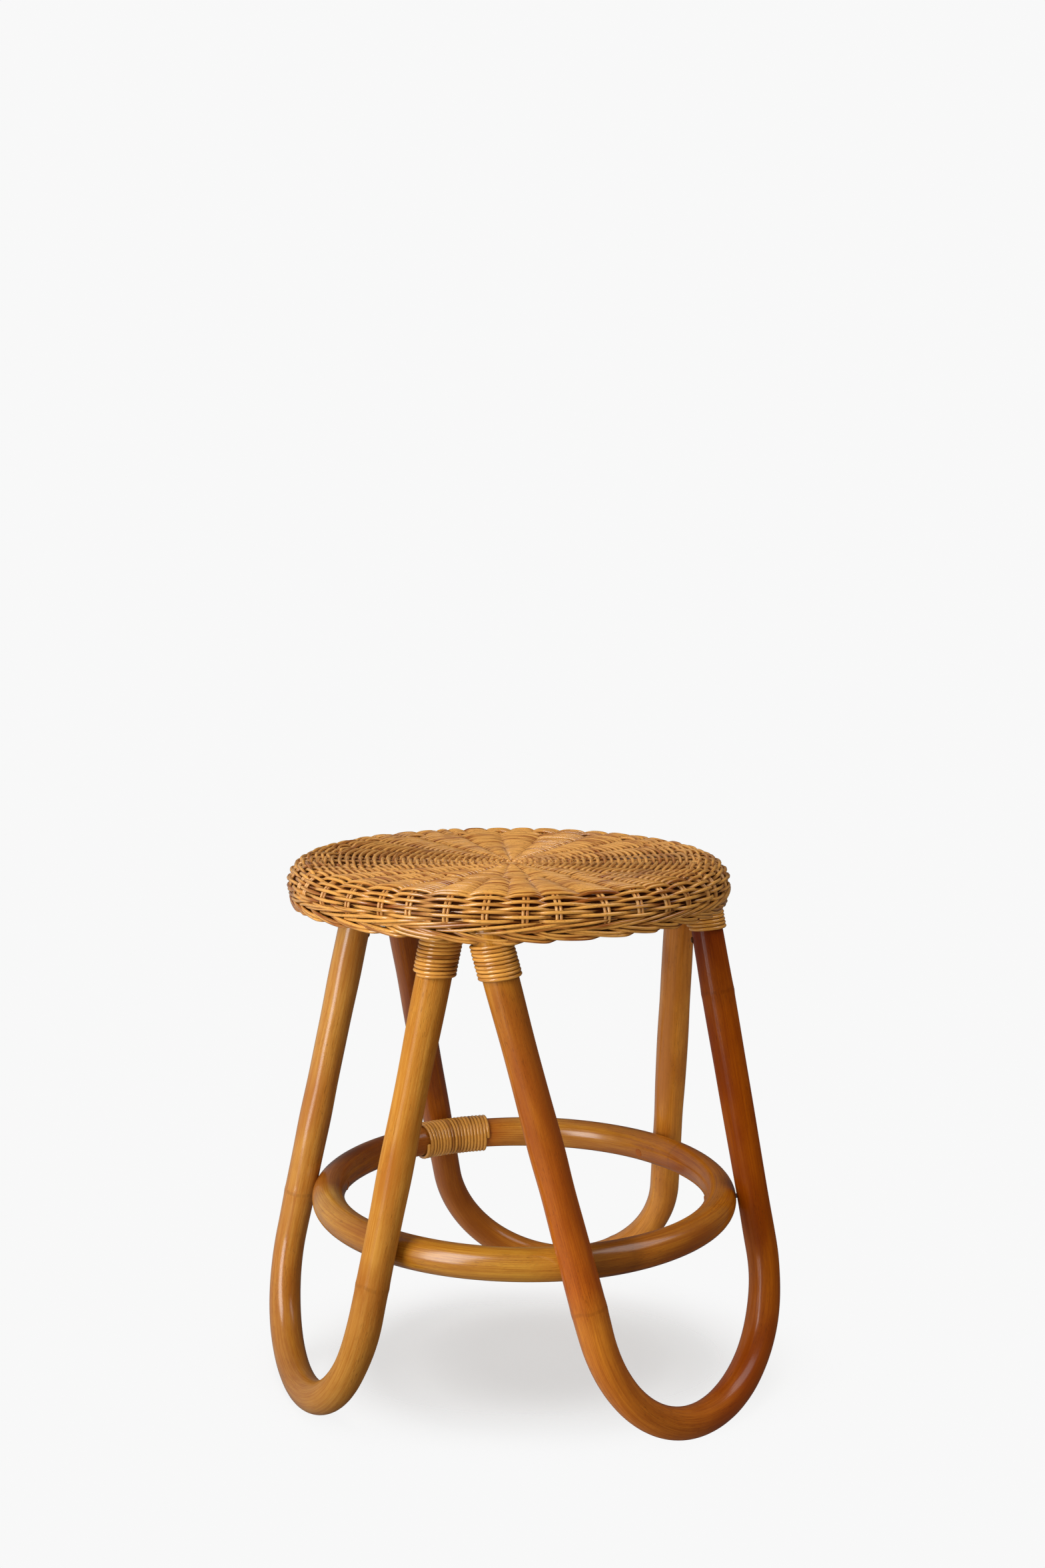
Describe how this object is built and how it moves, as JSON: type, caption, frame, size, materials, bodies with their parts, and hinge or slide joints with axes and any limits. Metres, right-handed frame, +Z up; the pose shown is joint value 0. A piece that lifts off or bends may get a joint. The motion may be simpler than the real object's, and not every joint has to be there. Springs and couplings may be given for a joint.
{
  "type": "stool",
  "caption": "Round rattan stool: woven cane seat on three bent pole loops, tied by a ring stretcher low down and bound with cane.",
  "frame": {"origin": "middle of the footprint's bounding box, on the floor", "axes": "+Z up; -Y towards the viewer of the picture, who sees +X at the right"},
  "size_m": [0.4396, 0.436, 0.449],
  "materials": {
    "honey_pole": "lacquered rattan pole, honey brown",
    "red_pole": "lacquered rattan pole, redder brown",
    "hidden_pole": "plain rattan pole, out of sight",
    "weave": "woven cane, golden ochre, thin lacquer",
    "cane": "round cane, glossy golden brown",
    "plug": "wooden plug",
    "steel": "plain steel",
    "tack": "dull brown tack"
  },
  "bodies": {
    "root": {"seat_top_weave": "weave", "skirt_weave": "weave", "border_plait": "weave", "seat_hoop": "hidden_pole", "right_cross_bar": "hidden_pole", "left_cross_bar": "hidden_pole", "right_leg_loop": "red_pole", "back_leg_loop": "honey_pole", "left_leg_loop": "honey_pole", "ring_stretcher": "honey_pole", "ring_scarf_winding": "cane", "right_leftArm_winding": "cane", "right_rightArm_winding": "cane", "back_leftArm_winding": "cane", "back_rightArm_winding": "cane", "left_leftArm_winding": "cane", "left_rightArm_winding": "cane", "hoop_scarf_nail": "steel", "ring_scarf_nail": "steel", "right_leftArm_hoop_screw": "steel", "right_rightArm_hoop_screw": "steel", "back_leftArm_hoop_screw": "steel", "back_rightArm_hoop_screw": "steel", "left_leftArm_hoop_screw": "steel", "left_rightArm_hoop_screw": "steel", "right_bar_front_nail": "steel", "right_bar_back_nail": "steel", "left_bar_front_nail": "steel", "left_bar_back_nail": "steel", "right_leftArm_ring_screw": "steel", "right_rightArm_ring_screw": "steel", "back_leftArm_ring_screw": "steel", "left_leftArm_ring_screw": "steel", "left_rightArm_ring_screw": "steel", "right_leftArm_ring_plug": "plug", "right_rightArm_ring_plug": "plug", "back_leftArm_ring_plug": "plug", "left_leftArm_ring_plug": "plug", "left_rightArm_ring_plug": "plug", "right_leftArm_tack": "tack", "right_rightArm_tack": "tack", "back_leftArm_tack": "tack", "back_rightArm_tack": "tack", "left_leftArm_tack": "tack", "left_rightArm_tack": "tack"}
  },
  "joints": []
}
